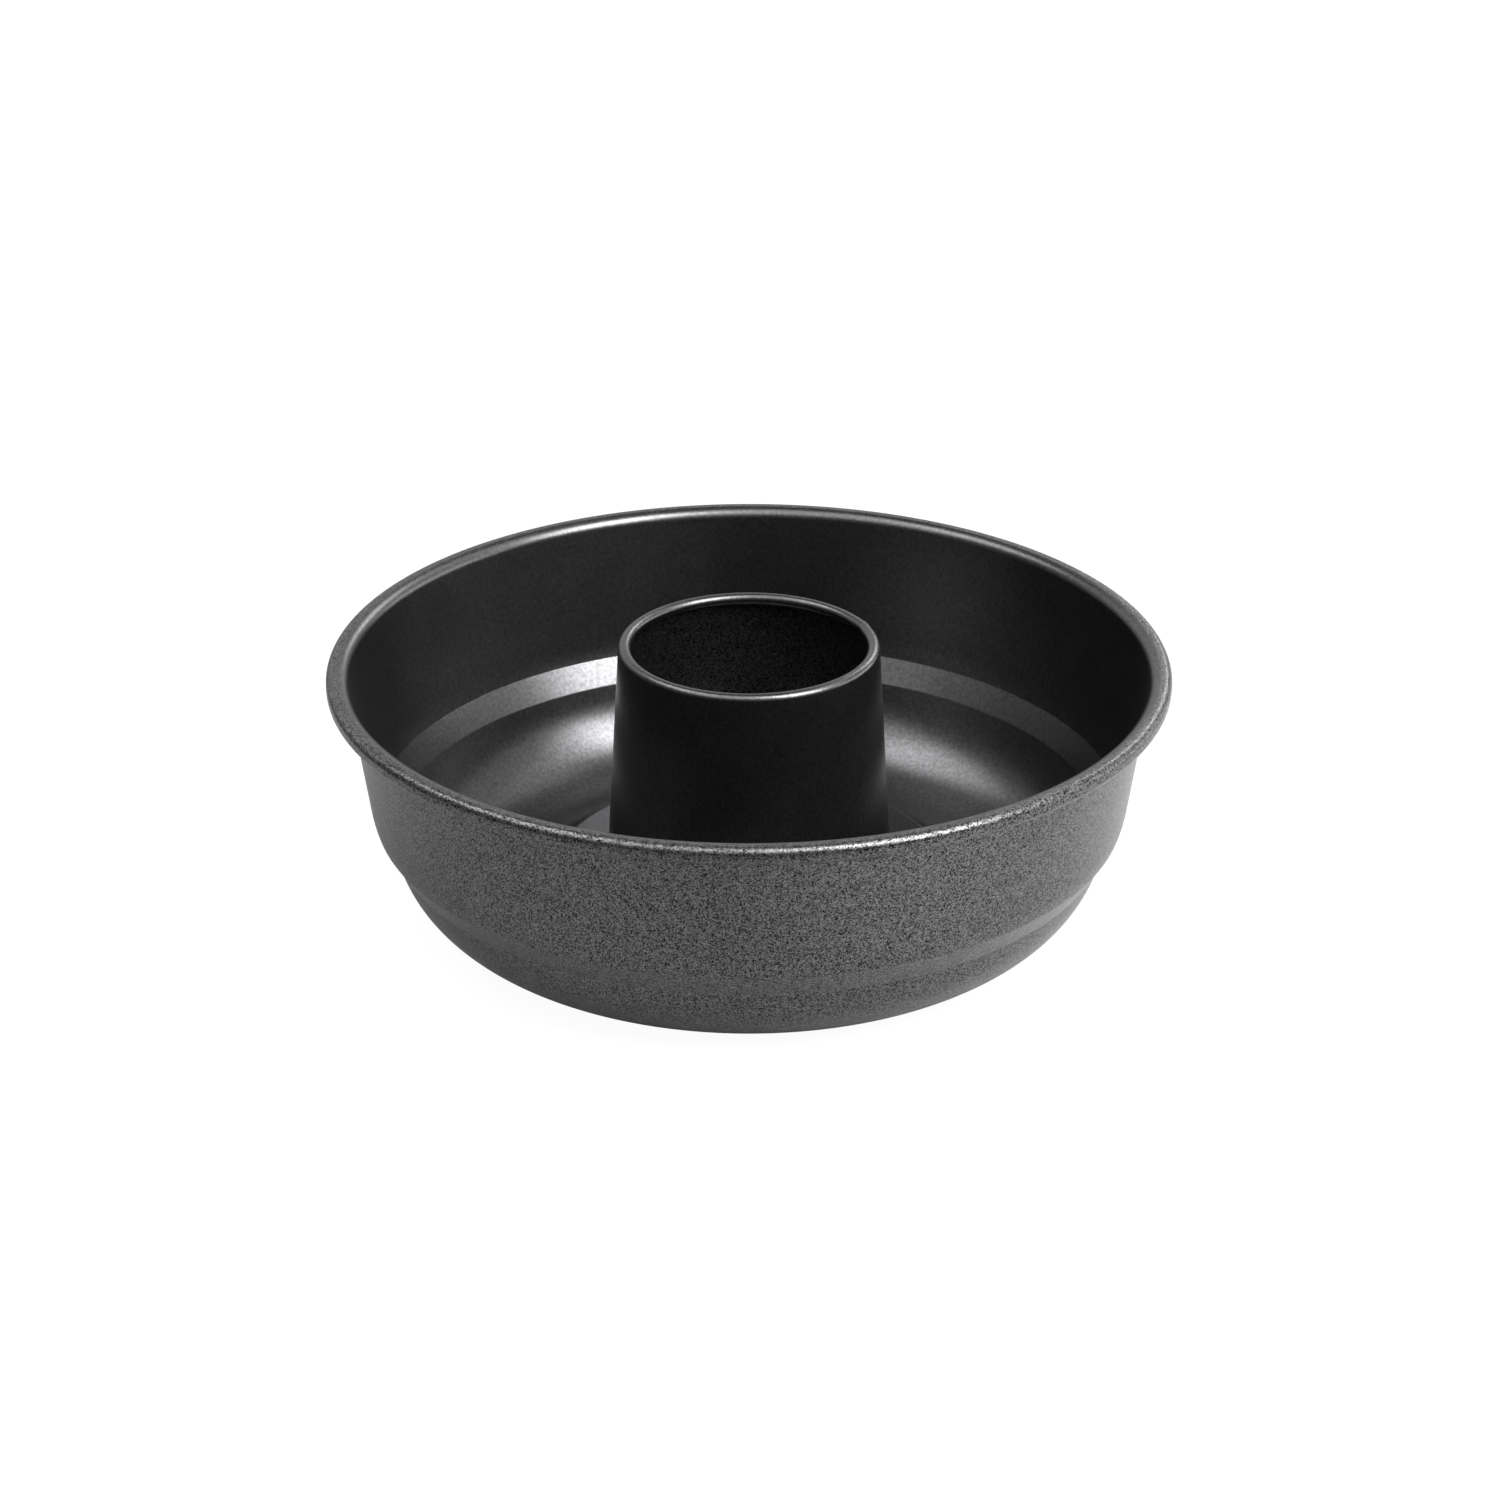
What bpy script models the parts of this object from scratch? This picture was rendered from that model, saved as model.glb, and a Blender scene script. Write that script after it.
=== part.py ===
"""Ring cake pan: a drawn sheet steel body with a rolled rim, and a centre tube locked into its floor.

Frame: +Z up, origin on the table under the middle of the pan. Sizes are in metres, angles in degrees.
Both pressings are bent strips turned about Z. A strip is drawn as the line of its outer face, and its
thickness lies to the left of that line.
"""
import math

import bmesh
import bpy
from mathutils import Vector

# Sheet steel of both pressings
SHEET = 0.0006

# Body: rim and wall, measured on the outside, so the rim's width runs to the wall's outer face
RIM_RADIUS = 0.1300
BODY_HEIGHT = 0.0820
RIM_WIDTH = 0.0060
RIM_BEND = 0.0021
RIM_ROLL = 0.0055
ROLL_BEND = 0.0022
WALL_TAPER = 7.7
SHOULDER_HEIGHT = 0.0370
SHOULDER_BEND = 0.0334
SHOULDER_TAPER = 17.5
BAND_HEIGHT = 0.0340
BAND_TAPER = 31.8
KINK_HEIGHT = 0.0260
KINK_BEND = 0.0012
LOWER_TAPER = 17.2
FLOOR_BEND = 0.0314

# Body: raised shelf round the tube
SHELF_HEIGHT = 0.0103
SHELF_WIDTH = 0.0165
SHELF_BEND = 0.0015
RISE_ANGLE = 47.0
RISE_BEND = 0.0140

# Centre tube
TUBE_HEIGHT = 0.0870
TUBE_TOP_RADIUS = 0.0403
TUBE_BASE_RADIUS = 0.0450
TUBE_ROLL = 0.0036
ROLL_SLIT = 0.0004

# Lock seam under the shelf: the body's neck ends in a flange, and the tube's edge is folded round it
SEAM_GAP = 0.0003
SEAM_LIFT = 0.0040
NECK_BEND = 0.0012
FLANGE_WIDTH = 0.0030
FLANGE_BEND = 0.0003
HEM_LAP = 0.0022

# Facets of the round pieces, the share of a straight run that the bends at its ends may take, and
# the angle between facets up to which they are shaded smooth
SEGMENTS = 56
BEND_STEP = 45.0
ROLL_STEP = 30.0
FLOOR_STEP = 13.0
BEND_SHARE = 0.98
SMOOTH_ANGLE = 35.0

# Colour, metallic value and roughness of the baked coating
BODY_COAT = ((0.055, 0.055, 0.057, 1.0), 0.55, 0.42)
TUBE_COAT = ((0.030, 0.030, 0.032, 1.0), 0.40, 0.38)


def run_lengths(corners):
    """Length of each straight run between neighbouring corners."""
    return [(Vector(b[:2]) - Vector(a[:2])).length for a, b in zip(corners, corners[1:])]


def bend_reaches(corners):
    """How far each bend reaches along its runs, shortened where two bends would meet."""
    reaches = [0.0]
    for before, corner, after in zip(corners, corners[1:], corners[2:]):
        incoming = Vector(corner[:2]) - Vector(before[:2])
        outgoing = Vector(after[:2]) - Vector(corner[:2])
        reaches.append(corner[2] * math.tan(incoming.angle(outgoing) / 2))
    reaches.append(0.0)
    scales = [1.0] * len(reaches)
    for i, length in enumerate(run_lengths(corners)):
        taken = reaches[i] + reaches[i + 1]
        if taken > BEND_SHARE * length:
            fit = BEND_SHARE * length / taken
            scales[i] = min(scales[i], fit)
            scales[i + 1] = min(scales[i + 1], fit)
    return [reach * scale for reach, scale in zip(reaches, scales)]


def strip_line(corners):
    """Points (r, z) of a bent line. Each corner is (r, z, bend radius, degrees per facet)."""
    reaches = bend_reaches(corners)
    line = [Vector(corners[0][:2])]
    for i in range(1, len(corners) - 1):
        corner = Vector(corners[i][:2])
        incoming = (corner - Vector(corners[i - 1][:2])).normalized()
        outgoing = (Vector(corners[i + 1][:2]) - corner).normalized()
        turn = incoming.angle_signed(outgoing)
        radius = reaches[i] / math.tan(abs(turn) / 2)
        side = Vector((incoming.y, -incoming.x)) if turn > 0 else Vector((-incoming.y, incoming.x))
        centre = corner - incoming * reaches[i] + side * radius
        steps = max(1, round(math.degrees(abs(turn)) / corners[i][3]))
        for k in range(steps + 1):
            angle = turn * k / steps
            spoke = -side * radius
            line.append(centre + Vector((spoke.x * math.cos(angle) + spoke.y * math.sin(angle),
                                         spoke.y * math.cos(angle) - spoke.x * math.sin(angle))))
    line.append(Vector(corners[-1][:2]))
    return line


def left_face(line, thickness):
    """The line moved to its left by the thickness, with mitred corners."""
    moved = []
    for i, point in enumerate(line):
        ahead = (line[min(i + 1, len(line) - 1)] - line[min(i, len(line) - 2)]).normalized()
        behind = (line[max(i, 1)] - line[max(i - 1, 0)]).normalized()
        mitre = Vector((-ahead.y - behind.y, ahead.x + behind.x))
        moved.append(point + mitre * (2 * thickness / mitre.length_squared))
    return moved


def turned_strip(name, corners, material):
    """One sheet piece: the bent strip turned about Z into a closed shell with a real thickness."""
    outer = strip_line(corners)
    inner = left_face(outer, SHEET)
    mesh = bpy.data.meshes.new(name)
    bm = bmesh.new()
    loop = [bm.verts.new((point.x, 0.0, point.y)) for point in outer + inner[::-1]]
    edges = [bm.edges.new((a, b)) for a, b in zip(loop, loop[1:] + loop[:1])]
    bmesh.ops.spin(bm, geom=loop + edges, cent=(0, 0, 0), axis=(0, 0, 1),
                   angle=2 * math.pi, steps=SEGMENTS, use_merge=True)
    bmesh.ops.recalc_face_normals(bm, faces=bm.faces)
    bm.to_mesh(mesh)
    bm.free()
    mesh.shade_smooth()
    mesh.set_sharp_from_angle(angle=math.radians(SMOOTH_ANGLE))
    mesh.materials.append(material)
    piece = bpy.data.objects.new(name, mesh)
    bpy.context.scene.collection.objects.link(piece)
    return piece


def coat(name, finish):
    """The baked coating of one pressing."""
    colour, metallic, roughness = finish
    material = bpy.data.materials.new(name)
    material.use_nodes = True
    shader = material.node_tree.nodes["Principled BSDF"]
    shader.inputs["Base Color"].default_value = colour
    shader.inputs["Metallic"].default_value = metallic
    shader.inputs["Roughness"].default_value = roughness
    return material


def slope(degrees):
    """Sideways travel for each metre of height at this tilt from upright."""
    return math.tan(math.radians(degrees))


# Lock seam, worked out from the tube's foot: both pieces take their folds from these values
neck_face = TUBE_BASE_RADIUS + SEAM_GAP + SHEET
flange_low = SEAM_LIFT + SHEET + SEAM_GAP
flange_top = flange_low + SHEET
flange_end = neck_face + FLANGE_WIDTH
fold_bend = FLANGE_BEND + SHEET + SEAM_GAP

# Corners of the body's outer face, from the shelf outwards
shelf_edge = TUBE_BASE_RADIUS + SHELF_WIDTH
shelf_under = SHELF_HEIGHT - SHEET
rise_foot = shelf_edge + shelf_under / slope(RISE_ANGLE)

# Corners of the rim's hollow roll, whose hollow side is the wall's outer face carried on
wall_radius = RIM_RADIUS - RIM_WIDTH
roll_out = RIM_RADIUS - SHEET
roll_top = BODY_HEIGHT - SHEET
roll_low = BODY_HEIGHT - RIM_ROLL + SHEET
roll_bend = ROLL_BEND - SHEET
roll_end = wall_radius - (roll_top - roll_low) * slope(WALL_TAPER) + ROLL_SLIT

# Corners of the wall, from the rim downwards
shoulder_radius = wall_radius - (roll_top - SHOULDER_HEIGHT) * slope(WALL_TAPER)
band_radius = shoulder_radius - (SHOULDER_HEIGHT - BAND_HEIGHT) * slope(SHOULDER_TAPER)
kink_radius = band_radius - (BAND_HEIGHT - KINK_HEIGHT) * slope(BAND_TAPER)
floor_radius = kink_radius - KINK_HEIGHT * slope(LOWER_TAPER)

body_corners = [
    (flange_end, flange_top, 0, BEND_STEP),
    (neck_face, flange_top, FLANGE_BEND, BEND_STEP),
    (neck_face, shelf_under, NECK_BEND - SHEET, BEND_STEP),
    (shelf_edge, shelf_under, SHELF_BEND, BEND_STEP),
    (rise_foot, 0, RISE_BEND, FLOOR_STEP),
    (floor_radius, 0, FLOOR_BEND, FLOOR_STEP),
    (kink_radius, KINK_HEIGHT, KINK_BEND, BEND_STEP),
    (band_radius, BAND_HEIGHT, KINK_BEND, BEND_STEP),
    (shoulder_radius, SHOULDER_HEIGHT, SHOULDER_BEND, FLOOR_STEP),
    (wall_radius, roll_top, RIM_BEND - SHEET, ROLL_STEP),
    (roll_out, roll_top, roll_bend, ROLL_STEP),
    (roll_out, roll_low, roll_bend, ROLL_STEP),
    (roll_end, roll_low, 0, ROLL_STEP),
]

# The tube's edge folded round the flange, its tapered wall, and its top rolled inwards
fold_out = flange_end + SEAM_GAP
fold_top = flange_top + SEAM_GAP
fold_low = flange_low - SEAM_GAP
tube_tilt = math.atan((TUBE_BASE_RADIUS - TUBE_TOP_RADIUS) / (TUBE_HEIGHT - SHELF_HEIGHT))
tube_bend = TUBE_ROLL / 2
tube_roll_in = TUBE_TOP_RADIUS - tube_bend * (1 + math.tan(math.pi / 4 + tube_tilt / 2))
tube_roll_low = TUBE_HEIGHT - TUBE_ROLL
tube_wall_there = TUBE_TOP_RADIUS + TUBE_ROLL * math.tan(tube_tilt)

tube_corners = [
    (flange_end - HEM_LAP, fold_top, 0, BEND_STEP),
    (fold_out, fold_top, SEAM_GAP, BEND_STEP),
    (fold_out, fold_low, SEAM_GAP, BEND_STEP),
    (TUBE_BASE_RADIUS, fold_low, fold_bend, BEND_STEP),
    (TUBE_BASE_RADIUS, SHELF_HEIGHT, KINK_BEND, BEND_STEP),
    (TUBE_TOP_RADIUS, TUBE_HEIGHT, tube_bend, BEND_STEP),
    (tube_roll_in, TUBE_HEIGHT, tube_bend, BEND_STEP),
    (tube_roll_in, tube_roll_low, tube_bend, BEND_STEP),
    (tube_wall_there - SHEET - ROLL_SLIT, tube_roll_low, 0, BEND_STEP),
]

# Empty scene
for old in list(bpy.data.objects):
    bpy.data.objects.remove(old, do_unlink=True)

pan_body = turned_strip("pan_body", body_corners, coat("body_coat", BODY_COAT))
centre_tube = turned_strip("centre_tube", tube_corners, coat("tube_coat", TUBE_COAT))
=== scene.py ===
"""Dressed scene of the ring cake pan: two sheet steel pressings, their baked coatings, and a white studio."""
import math

import bmesh
import bpy
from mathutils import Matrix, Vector


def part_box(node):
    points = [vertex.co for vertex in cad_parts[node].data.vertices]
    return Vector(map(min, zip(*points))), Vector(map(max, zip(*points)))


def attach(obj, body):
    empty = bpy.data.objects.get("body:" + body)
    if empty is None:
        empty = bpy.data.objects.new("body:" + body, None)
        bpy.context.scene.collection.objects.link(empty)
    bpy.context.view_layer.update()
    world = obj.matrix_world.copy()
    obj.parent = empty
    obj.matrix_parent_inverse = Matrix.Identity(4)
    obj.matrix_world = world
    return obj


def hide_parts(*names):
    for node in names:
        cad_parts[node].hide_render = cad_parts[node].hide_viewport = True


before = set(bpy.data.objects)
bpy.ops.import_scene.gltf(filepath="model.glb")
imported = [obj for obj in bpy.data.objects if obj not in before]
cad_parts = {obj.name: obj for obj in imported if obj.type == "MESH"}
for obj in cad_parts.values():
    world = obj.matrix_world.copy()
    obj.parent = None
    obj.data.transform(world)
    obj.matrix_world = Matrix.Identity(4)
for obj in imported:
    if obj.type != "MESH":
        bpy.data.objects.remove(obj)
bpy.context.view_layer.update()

# Pan body: one disc of 0.6 mm sheet steel, drawn into a stepped ring channel round a raised shelf, with its
# edge curled outwards into a hollow roll. It is sprayed with a grainy metallic grey coating outside and a
# satin black one inside, and both are baked on.
SHEET = 0.0006
RIM_WIDTH = 0.0060
RIM_BEND = 0.0036
RIM_ROLL = 0.0055
CURL_BEND = 0.0022
WALL_TAPER = 7.7
SHOULDER_HEIGHT = 0.0370
SHOULDER_BEND = 0.0334
SHOULDER_TAPER = 17.5
BAND_HEIGHT = 0.0340
BAND_TAPER = 31.8
STEP_HEIGHT = 0.0260
STEP_TAPER = 17.2
CRISP_BEND = 0.0012
FLOOR_BEND = 0.0314
SHELF_HEIGHT = 0.0103
SHELF_RADIUS = 0.0615
SHELF_BEND = 0.0015
RISE_ANGLE = 47.0
RISE_BEND = 0.0140
HOLE_RADIUS = 0.0459
HOLE_BEND = 0.0006
FLANGE_RADIUS = 0.0489
FLANGE_TOP = 0.0055
TIGHT_BEND = 0.0003
CURL_GAP = 0.0004

# How finely the sheet is rebuilt: the share of a straight run that its bends may take, and the facets
BEND_SHARE = 0.98
FACET_ANGLE = 6.0
FACET_LENGTH = 0.0012
RING_SPACING = 0.0035
RING_MARGIN = 0.0003
TURN_FACETS = 320
SHARP_ANGLE = 35.0

# Coatings: greys, how strongly the flakes and the cloudiness show in them, and their gloss
BODY_OUTER_GREY = (0.080, 0.080, 0.081, 1.0)
BODY_INNER_GREY = (0.080, 0.080, 0.082, 1.0)
FLAKE_SCALE = 2700.0
FINE_SCALE = 900.0
CLOUD_SCALE = 45.0
FLAKE_SHARE = 0.9
OUTER_GRAIN = 3.2
INNER_GRAIN = 0.9
CLOUDINESS = 0.12
INNER_RELIEF = 0.4
RELIEF_STRENGTH = 0.15
RELIEF_DEPTH = 0.0002
OUTER_DULLNESS = 0.06
INNER_ROUGHNESS = 0.32
OUTER_EXTRA_ROUGHNESS = 0.03
ROUGHNESS_CLOUDINESS = 0.06


def slope(degrees):
    """Sideways travel for each metre of height at this tilt from upright."""
    return math.tan(math.radians(degrees))


def bent_line(corners):
    """Points (r, z) of a bent strip's outer face. Each corner is (r, z, bend radius)."""
    spots = [Vector(corner[:2]) for corner in corners]
    reaches = [0.0] * len(corners)
    for i in range(1, len(corners) - 1):
        turn = (spots[i] - spots[i - 1]).angle(spots[i + 1] - spots[i])
        reaches[i] = corners[i][2] * math.tan(turn / 2)
    fits = [1.0] * len(corners)
    for i, run in enumerate((b - a).length for a, b in zip(spots, spots[1:])):
        fit = BEND_SHARE * run / max(reaches[i] + reaches[i + 1], BEND_SHARE * run)
        fits[i], fits[i + 1] = min(fits[i], fit), min(fits[i + 1], fit)
    line = [spots[0]]
    for i in range(1, len(corners) - 1):
        reach = reaches[i] * fits[i]
        into, away = (spots[i] - spots[i - 1]).normalized(), (spots[i + 1] - spots[i]).normalized()
        turn = into.angle(away)
        steps = max(2, math.ceil(math.degrees(turn) / FACET_ANGLE), math.ceil(2 * reach / FACET_LENGTH))
        centre = spots[i] + (away - into).normalized() * (reach / math.sin(turn / 2))
        start, end = spots[i] - into * reach - centre, spots[i] + away * reach - centre
        for k in range(steps + 1):
            share = k / steps
            spoke = start * math.sin((1 - share) * turn) + end * math.sin(share * turn)
            line.append(centre + spoke / math.sin(turn))
    line.append(spots[-1])
    return line


def with_rings(line):
    """The line with more points on its straight runs, near each end and evenly between."""
    fuller = [line[0]]
    for a, b in zip(line, line[1:]):
        run = (b - a).length
        if run > 4 * RING_MARGIN:
            along = (b - a) / run
            inner = run - 2 * RING_MARGIN
            parts = math.ceil(inner / RING_SPACING)
            fuller += [a + along * (RING_MARGIN + inner * k / parts) for k in range(parts + 1)]
        fuller.append(b)
    return fuller


def left_face(line):
    """The line moved to its left by the sheet's thickness."""
    moved = []
    for i, point in enumerate(line):
        ahead = (line[min(i + 1, len(line) - 1)] - line[min(i, len(line) - 2)]).normalized()
        behind = (line[max(i, 1)] - line[max(i - 1, 0)]).normalized()
        mitre = Vector((-ahead.y - behind.y, ahead.x + behind.x))
        moved.append(point + mitre * (2 * SHEET / mitre.length_squared))
    return moved


def turned_sheet(name, corners, outer_coat, swell=None):
    """A bent strip of sheet turned about Z.

    outer_coat(radius, height, left) says how far the outer coating shows, and swell(angle, height) how far
    the sheet stands out of round."""
    outer = with_rings(bent_line(corners))
    left = left_face(outer)
    section = outer + left[::-1]
    coats = [outer_coat(p.x, p.y, False) for p in outer] + [outer_coat(p.x, p.y, True) for p in left[::-1]]
    verts, faces = [], []
    for k in range(TURN_FACETS):
        angle = 2 * math.pi * k / TURN_FACETS
        for p in section:
            radius = p.x + (swell(angle, p.y) if swell else 0.0)
            verts.append((radius * math.cos(angle), radius * math.sin(angle), p.y))
    count = len(section)
    for k in range(TURN_FACETS):
        here, there = k * count, (k + 1) % TURN_FACETS * count
        for i in range(count):
            j = (i + 1) % count
            faces.append((here + i, here + j, there + j, there + i))
    mesh = bpy.data.meshes.new(name)
    mesh.from_pydata(verts, [], faces)
    mesh.attributes.new("outer_coat", "FLOAT", "POINT").data.foreach_set("value", coats * TURN_FACETS)
    bm = bmesh.new()
    bm.from_mesh(mesh)
    bmesh.ops.recalc_face_normals(bm, faces=bm.faces)
    bm.to_mesh(mesh)
    bm.free()
    mesh.shade_smooth()
    mesh.set_sharp_from_angle(angle=math.radians(SHARP_ANGLE))
    piece = bpy.data.objects.new(name, mesh)
    bpy.context.scene.collection.objects.link(piece)
    return piece


class Wire:
    """A socket in a node tree. Sums on wires add Math nodes, and node() adds any other node."""

    def __init__(self, tree, socket=None):
        self.tree = tree
        self.socket = socket

    def node(self, kind, settings, sockets, output=0):
        """One more node: its settings are set first, then its sockets get their values or links."""
        made = self.tree.nodes.new(kind)
        for name, value in settings.items():
            if name == "stops":
                while len(made.color_ramp.elements) < len(value):
                    made.color_ramp.elements.new(1.0)
                for stop, (place, grey) in zip(made.color_ramp.elements, value):
                    stop.position, stop.color = place, (grey, grey, grey, 1.0)
            else:
                setattr(made, name, value)
        for key, value in sockets.items():
            if isinstance(value, Wire):
                self.tree.links.new(value.socket, made.inputs[key])
            else:
                made.inputs[key].default_value = value
        return Wire(self.tree, made.outputs[output] if made.outputs else None)

    def math(self, operation, first, second):
        return self.node("ShaderNodeMath", {"operation": operation}, {0: first, 1: second})

    def __add__(self, other):
        return self.math("ADD", self, other)

    def __radd__(self, other):
        return self.math("ADD", other, self)

    def __sub__(self, other):
        return self.math("SUBTRACT", self, other)

    def __rsub__(self, other):
        return self.math("SUBTRACT", other, self)

    def __mul__(self, other):
        return self.math("MULTIPLY", self, other)

    def __rmul__(self, other):
        return self.math("MULTIPLY", other, self)


def baked_coat(name, outer_colour, inner_colour):
    """Both coatings of a pressing: grainy metallic grey where outer_coat is 1, satin black where it is 0."""
    material = bpy.data.materials.new(name)
    material.use_nodes = True
    material.node_tree.nodes.clear()
    bench = Wire(material.node_tree)
    place = bench.node("ShaderNodeTexCoord", {}, {}, "Object")
    outside = bench.node("ShaderNodeAttribute", {"attribute_name": "outer_coat"}, {}, "Fac")
    flake = bench.node("ShaderNodeTexVoronoi", {}, {"Vector": place, "Scale": FLAKE_SCALE}, "Color")
    fine = bench.node("ShaderNodeTexNoise", {}, {"Vector": place, "Scale": FINE_SCALE, "Detail": 1.0})
    cloud = bench.node("ShaderNodeTexNoise", {}, {"Vector": place, "Scale": CLOUD_SCALE, "Detail": 3.0})
    grain = flake * FLAKE_SHARE + fine * (1 - FLAKE_SHARE)
    outer_light = (grain - 0.5) * OUTER_GRAIN * outside
    inner_light = (fine - 0.5) * INNER_GRAIN * (1 - outside)
    light = outer_light + inner_light + (cloud - 0.5) * CLOUDINESS + 1.0
    colour = bench.node("ShaderNodeMix", {"data_type": "RGBA"},
                        {"Factor": outside, 6: inner_colour, 7: outer_colour}, 2)
    colour = bench.node("ShaderNodeVectorMath", {"operation": "SCALE"}, {0: colour, "Scale": light})
    relief = grain * outside + fine * (1 - outside) * INNER_RELIEF
    normal = bench.node("ShaderNodeBump", {}, {
        "Height": relief, "Strength": RELIEF_STRENGTH, "Distance": RELIEF_DEPTH})
    shader = bench.node("ShaderNodeBsdfPrincipled", {}, {
        "Base Color": colour,
        "Metallic": 1.0 - OUTER_DULLNESS * outside,
        "Roughness": INNER_ROUGHNESS + OUTER_EXTRA_ROUGHNESS * outside + (cloud - 0.5) * ROUGHNESS_CLOUDINESS,
        "Normal": normal})
    bench.node("ShaderNodeOutputMaterial", {}, {"Surface": shader})
    return material


low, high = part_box("pan_body")
rim_radius = high.x
body_height = high.z
wall_radius = rim_radius - RIM_WIDTH
curl_top = body_height - SHEET
curl_low = body_height - RIM_ROLL + SHEET
curl_bend = CURL_BEND - SHEET
curl_end = wall_radius - (curl_top - curl_low) * slope(WALL_TAPER) + CURL_GAP
shoulder_radius = wall_radius - (curl_top - SHOULDER_HEIGHT) * slope(WALL_TAPER)
band_radius = shoulder_radius - (SHOULDER_HEIGHT - BAND_HEIGHT) * slope(SHOULDER_TAPER)
step_radius = band_radius - (BAND_HEIGHT - STEP_HEIGHT) * slope(BAND_TAPER)
floor_radius = step_radius - STEP_HEIGHT * slope(STEP_TAPER)
shelf_under = SHELF_HEIGHT - SHEET
body_corners = [
    (FLANGE_RADIUS, FLANGE_TOP, 0),
    (HOLE_RADIUS, FLANGE_TOP, TIGHT_BEND),
    (HOLE_RADIUS, shelf_under, HOLE_BEND),
    (SHELF_RADIUS, shelf_under, SHELF_BEND),
    (SHELF_RADIUS + shelf_under / slope(RISE_ANGLE), 0, RISE_BEND),
    (floor_radius, 0, FLOOR_BEND),
    (step_radius, STEP_HEIGHT, CRISP_BEND),
    (band_radius, BAND_HEIGHT, CRISP_BEND),
    (shoulder_radius, SHOULDER_HEIGHT, SHOULDER_BEND),
    (wall_radius, curl_top, RIM_BEND - SHEET),
    (rim_radius - SHEET, curl_top, curl_bend),
    (rim_radius - SHEET, curl_low, curl_bend),
    (curl_end, curl_low, 0),
]
inner_crest = wall_radius + RIM_BEND


def body_outer_coat(radius, height, left):
    """The outer spray covers the whole outside and the rim, and fades out down the rim's inner bend."""
    share = (radius - wall_radius) / (inner_crest - wall_radius)
    return min(1.0, max(0.0, share)) if left else 1.0


body = turned_sheet("pan_body_sheet", body_corners, body_outer_coat)
body.data.materials.append(baked_coat("body_coat", BODY_OUTER_GREY, BODY_INNER_GREY))
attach(body, "root")
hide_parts("pan_body")

# Centre tube: a tapered sheet steel tube, butt-welded along its length, with its top edge rolled inwards. Its
# foot is folded round the flange of the pan's hole as a lock seam, and it is coated together with the pan.
TUBE_TOP_RADIUS = 0.0403
TUBE_FOOT_RADIUS = 0.0450
TUBE_ROLL = 0.0036
FOLD_LOW = 0.0046
FOLD_TOP = 0.0058
FOLD_RADIUS = 0.0492
FOLD_LAP = 0.0467
FOLD_BEND = 0.0012
WELD_AZIMUTH = 23.0
WELD_SPREAD = 3.0
WELD_SWELL = 0.0003
# The bore has the pan's outer coating, painted darker here: painted shade in the tube's hollow
TUBE_BORE_PAINTED_SHADE_GREY = (0.045, 0.045, 0.046, 1.0)

low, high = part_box("centre_tube")
tube_height = high.z
tube_tilt = math.atan((TUBE_FOOT_RADIUS - TUBE_TOP_RADIUS) / (tube_height - SHELF_HEIGHT))
tube_bend = TUBE_ROLL / 2
roll_inner = TUBE_TOP_RADIUS - tube_bend * (1 + math.tan(math.pi / 4 + tube_tilt / 2))
roll_low = tube_height - TUBE_ROLL
wall_at_roll = TUBE_TOP_RADIUS + TUBE_ROLL * math.tan(tube_tilt)
tube_corners = [
    (FOLD_LAP, FOLD_TOP, 0),
    (FOLD_RADIUS, FOLD_TOP, TIGHT_BEND),
    (FOLD_RADIUS, FOLD_LOW, TIGHT_BEND),
    (TUBE_FOOT_RADIUS, FOLD_LOW, FOLD_BEND),
    (TUBE_FOOT_RADIUS, SHELF_HEIGHT, CRISP_BEND),
    (TUBE_TOP_RADIUS, tube_height, tube_bend),
    (roll_inner, tube_height, tube_bend),
    (roll_inner, roll_low, tube_bend),
    (wall_at_roll - SHEET - CURL_GAP, roll_low, 0),
]


def tube_outer_coat(radius, height, left):
    """The tube's outside is coated with the pan's inside, and its bore with the pan's outside."""
    return 1.0 if left and height < roll_low else 0.0


def weld_swell(angle, height):
    """The welded tube stands out of round along its weld, above the shelf."""
    away = (math.degrees(angle) - WELD_AZIMUTH) / WELD_SPREAD
    rise = min(1.0, max(0.0, (height - SHELF_HEIGHT) / (tube_height - SHELF_HEIGHT)))
    return WELD_SWELL * rise * math.exp(-away * away / 2)


tube = turned_sheet("centre_tube_sheet", tube_corners, tube_outer_coat, weld_swell)
tube.data.materials.append(baked_coat("tube_coat", TUBE_BORE_PAINTED_SHADE_GREY, BODY_INNER_GREY))
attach(tube, "root")
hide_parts("centre_tube")

# Studio floor: a sheet of white paper on a table. The lens sees it as pure white with a faint shadow of the
# pan.
# In the metal and in the light it throws back, its colour holds painted light and shade: painted light makes
# it brighter at the right, and painted shade makes it darker at the left and near black from a quarter of a
# metre in front, where a dark room stands beyond the table. The painted light runs from 0.5 m left of the pan
# to 0.5 m right of it, and the painted shade at the front runs from 0.5 m in front to 0.5 m behind.
FLOOR_SIZE = 6.0
FLOOR_DROP = 0.0001
FLOOR_WHITE = 1.14
SHADOW_SHARE = 0.16
METAL_GLOW = 0.08
LENS_PAPER = (0.36, 0.36, 0.36, 1.0)
# Painted light and shade in the paper's colour, left to right: dark at the left, brightest at the right
PAINTED_PAPER_LIGHT_STOPS = [(0.0, 0.08), (0.12, 0.12), (0.22, 0.33), (0.5, 0.30), (0.60, 0.47), (1.0, 0.47)]
# Painted shade in the paper's colour: near black from a quarter of a metre in front of the pan
PAINTED_FRONT_SHADE_STOPS = [(0.0, 0.05), (0.16, 0.06), (0.26, 1.1), (1.0, 1.1)]
STOPS_MIDDLE = 0.5
WHITE = (1.0, 1.0, 1.0, 1.0)

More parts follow.
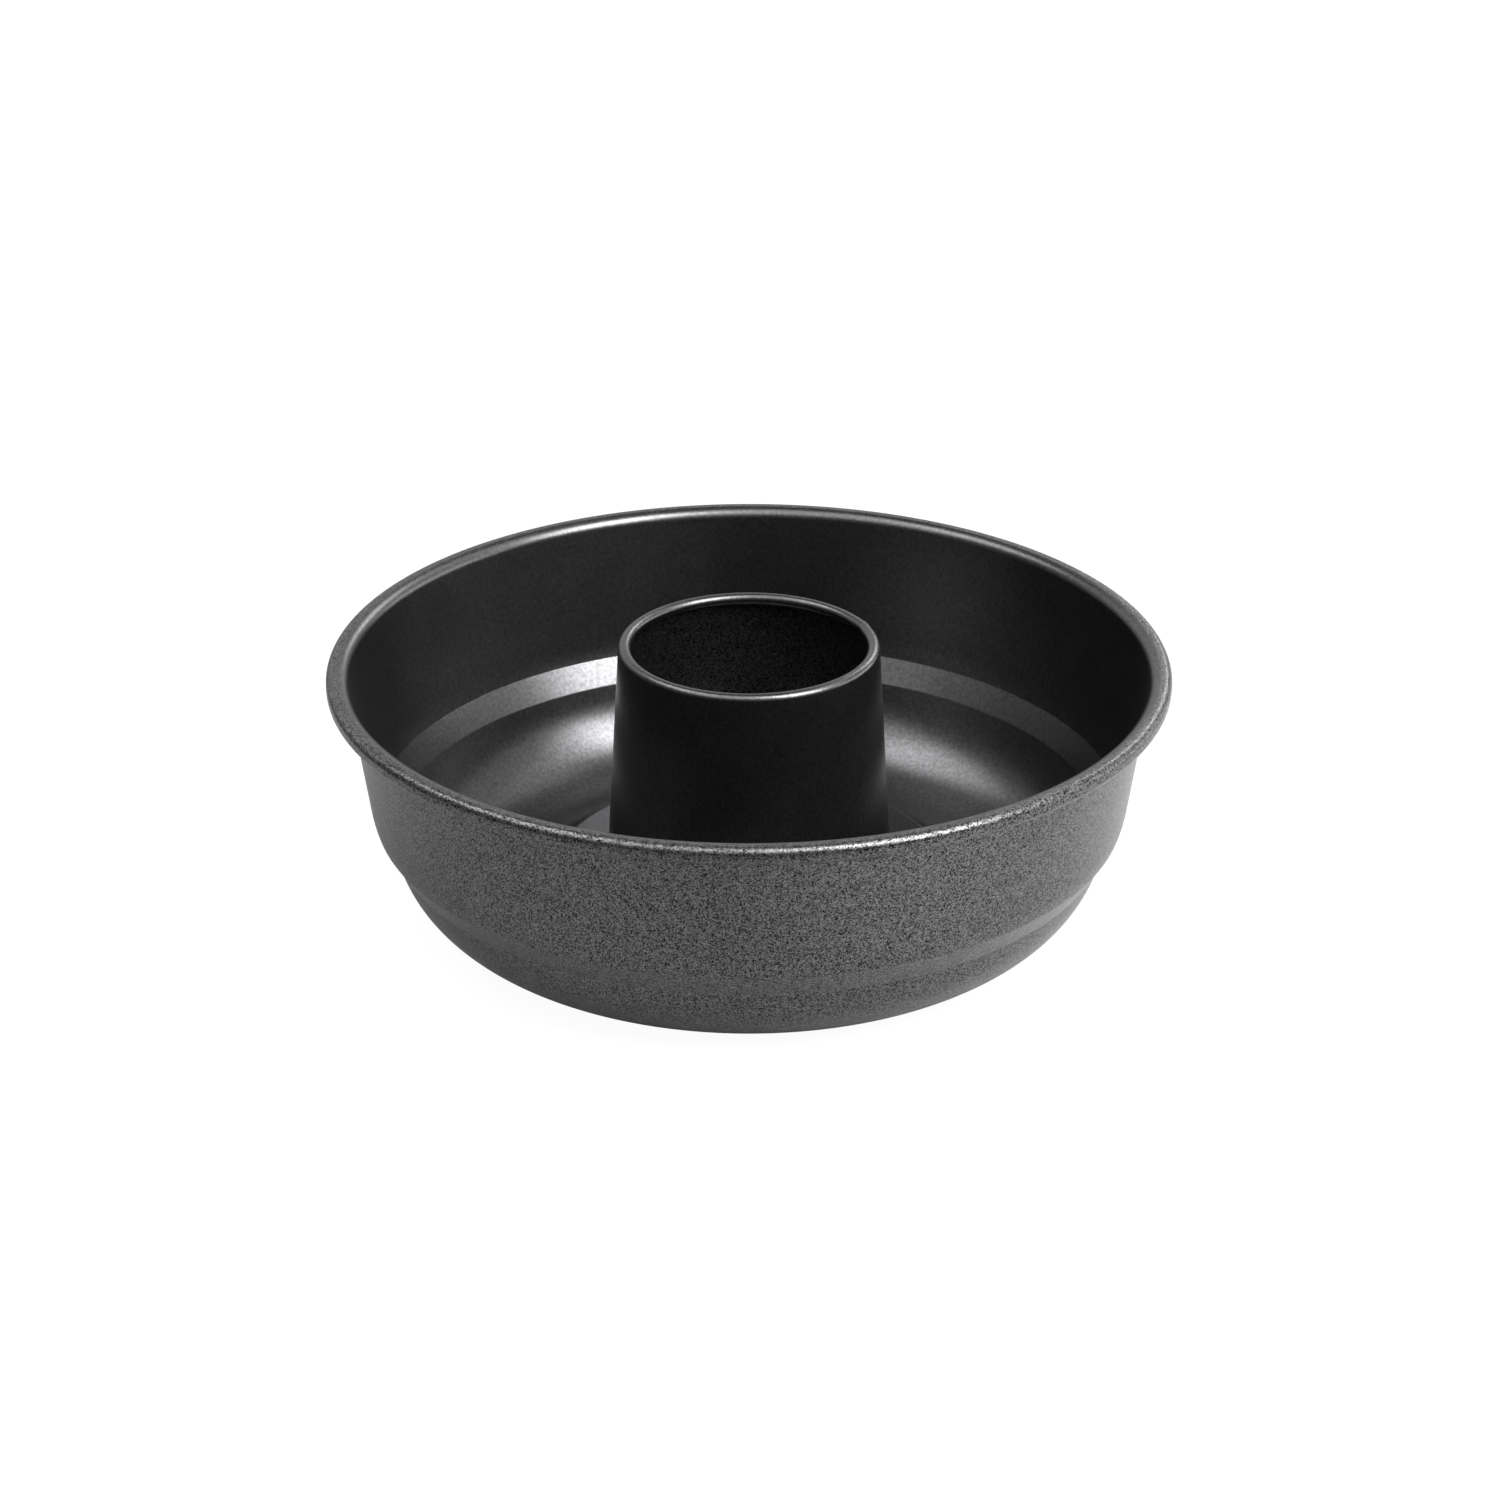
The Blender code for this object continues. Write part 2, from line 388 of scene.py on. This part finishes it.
half = FLOOR_SIZE / 2
floor_corners = [(-half, -half, 0), (half, -half, 0), (half, half, 0), (-half, half, 0)]
floor_mesh = bpy.data.meshes.new("studio_floor")
floor_mesh.from_pydata(floor_corners, [], [(0, 1, 2, 3)])
floor = bpy.data.objects.new("studio_floor", floor_mesh)
bpy.context.scene.collection.objects.link(floor)
floor.location.z = -FLOOR_DROP
floor_paint = bpy.data.materials.new("studio_floor")
floor_paint.use_nodes = True
floor_paint.node_tree.nodes.clear()
bench = Wire(floor_paint.node_tree)
to_lens = bench.node("ShaderNodeLightPath", {}, {}, "Is Camera Ray")
in_metal = bench.node("ShaderNodeLightPath", {}, {}, "Is Glossy Ray")
in_glass = bench.node("ShaderNodeLightPath", {}, {}, "Is Transmission Ray")
place = bench.node("ShaderNodeTexCoord", {}, {}, "Object")
across, depth = (bench.node("ShaderNodeSeparateXYZ", {}, {"Vector": place}, i) for i in range(2))
# The paper's colour as the metal sees it: painted light at the right, painted shade at the left and front
paper_with_painted_light = bench.node("ShaderNodeValToRGB", {"stops": PAINTED_PAPER_LIGHT_STOPS}, {"Fac": across + STOPS_MIDDLE})
painted_front_shade = bench.node("ShaderNodeValToRGB", {"stops": PAINTED_FRONT_SHADE_STOPS}, {"Fac": depth + STOPS_MIDDLE})
paper_with_painted_light = bench.node("ShaderNodeVectorMath", {"operation": "MULTIPLY"}, {0: paper_with_painted_light, 1: painted_front_shade})
paper_with_painted_light = bench.node("ShaderNodeMix", {"data_type": "RGBA"}, {"Factor": to_lens, 6: paper_with_painted_light, 7: LENS_PAPER}, 2)
glow = bench.node("ShaderNodeEmission", {}, {"Color": WHITE, "Strength": FLOOR_WHITE})
paper = bench.node("ShaderNodeBsdfDiffuse", {}, {"Color": paper_with_painted_light})
sweep = bench.node("ShaderNodeMixShader", {}, {
    0: to_lens * (1 - SHADOW_SHARE) + (in_metal + in_glass) * METAL_GLOW, 1: paper, 2: glow})
bench.node("ShaderNodeOutputMaterial", {}, {"Surface": sweep})
floor_mesh.materials.append(floor_paint)

# Studio air and softboxes: low white paper behind the pan in a dark room, a key softbox at the front right,
# a wide one overhead towards the front left, and smaller ones at the left, the right and behind. AIR_STOPS
# run from the horizon to straight up, and ROOM_STOPS from the front to the back, which turns to the right.
AIR_STOPS = [(0.0, 0.35), (0.17, 0.55), (0.36, 1.0), (0.50, 1.0), (0.60, 0.15), (0.70, 0.04), (1.0, 0.04)]
AIR_LEVEL = 1.25
ROOM_STOPS = [(0.0, 0.15), (0.35, 0.20), (0.60, 1.0), (1.0, 1.0)]
ROOM_ACROSS = 0.25
ROOM_DEPTH = 0.45
PAN_MIDDLE = Vector((0, 0, 0.04))

world = bpy.data.worlds.new("studio_air")
bpy.context.scene.world = world
world.use_nodes = True
world.node_tree.nodes.clear()
bench = Wire(world.node_tree)
to_lens = bench.node("ShaderNodeLightPath", {}, {}, "Is Camera Ray")
in_metal = bench.node("ShaderNodeLightPath", {}, {}, "Is Glossy Ray")
in_glass = bench.node("ShaderNodeLightPath", {}, {}, "Is Transmission Ray")
direction = bench.node("ShaderNodeTexCoord", {}, {}, "Generated")
across, depth, rise = (bench.node("ShaderNodeSeparateXYZ", {}, {"Vector": direction}, i) for i in range(3))
sky = bench.node("ShaderNodeValToRGB", {"stops": AIR_STOPS}, {"Fac": rise})
room = bench.node("ShaderNodeValToRGB", {"stops": ROOM_STOPS},
                  {"Fac": across * ROOM_ACROSS + depth * ROOM_DEPTH + STOPS_MIDDLE})
sky = bench.node("ShaderNodeVectorMath", {"operation": "MULTIPLY"}, {0: sky, 1: room})
air = bench.node("ShaderNodeBackground", {}, {"Color": sky, "Strength": AIR_LEVEL})
backdrop = bench.node("ShaderNodeBackground", {}, {"Color": WHITE, "Strength": 1.0})
studio = bench.node("ShaderNodeMixShader", {}, {
    0: to_lens + (in_metal + in_glass) * METAL_GLOW, 1: air, 2: backdrop})
bench.node("ShaderNodeOutputWorld", {}, {"Surface": studio})


def softbox(name, azimuth, rise, distance, width, height, brightness):
    """A lamp that points at the pan. Azimuth runs from +X towards +Y, and rise is above the table."""
    lamp = bpy.data.lights.new(name, "AREA")
    lamp.shape = "RECTANGLE"
    lamp.size = width
    lamp.size_y = height
    lamp.energy = brightness * math.pi * width * height
    box = bpy.data.objects.new(name, lamp)
    azimuth, rise = math.radians(azimuth), math.radians(rise)
    out = Vector((math.cos(rise) * math.cos(azimuth), math.cos(rise) * math.sin(azimuth), math.sin(rise)))
    box.location = PAN_MIDDLE + out * distance
    box.rotation_euler = (-out).to_track_quat("-Z", "Y").to_euler()
    bpy.context.scene.collection.objects.link(box)


softbox("softbox_key", azimuth=322, rise=48, distance=1.5, width=0.76, height=1.08, brightness=20.0)
softbox("softbox_overhead", azimuth=245, rise=66, distance=1.6, width=2.20, height=1.50, brightness=3.0)
softbox("softbox_right", azimuth=20, rise=52, distance=1.5, width=1.20, height=0.60, brightness=1.6)
softbox("softbox_right_low", azimuth=15, rise=10, distance=1.5, width=1.40, height=0.50, brightness=2.9)
softbox("softbox_left", azimuth=166, rise=54, distance=1.5, width=0.90, height=0.72, brightness=4.5)
softbox("softbox_back_right", azimuth=62, rise=30, distance=1.5, width=0.50, height=0.50, brightness=6.0)

# Camera: fitted to the rim and the tube's edge in the photograph, which was taken from 25.65 degrees above
# the table. It looks at a point on the pan's axis, within a third of a millimetre.
CAMERA_DISTANCE = 1.075
CAMERA_RISE = 25.65
CAMERA_LENS = 82.5
AIM = Vector((0.0003, 0, 0.0501))

camera_data = bpy.data.cameras.new("camera")
camera_data.lens = CAMERA_LENS
camera = bpy.data.objects.new("camera", camera_data)
rise = math.radians(CAMERA_RISE)
camera.location = AIM + Vector((0, -math.cos(rise), math.sin(rise))) * CAMERA_DISTANCE
camera.rotation_euler = (AIM - camera.location).to_track_quat("-Z", "Y").to_euler()
bpy.context.scene.collection.objects.link(camera)
bpy.context.scene.camera = camera
bpy.context.scene.view_settings.view_transform = "Standard"
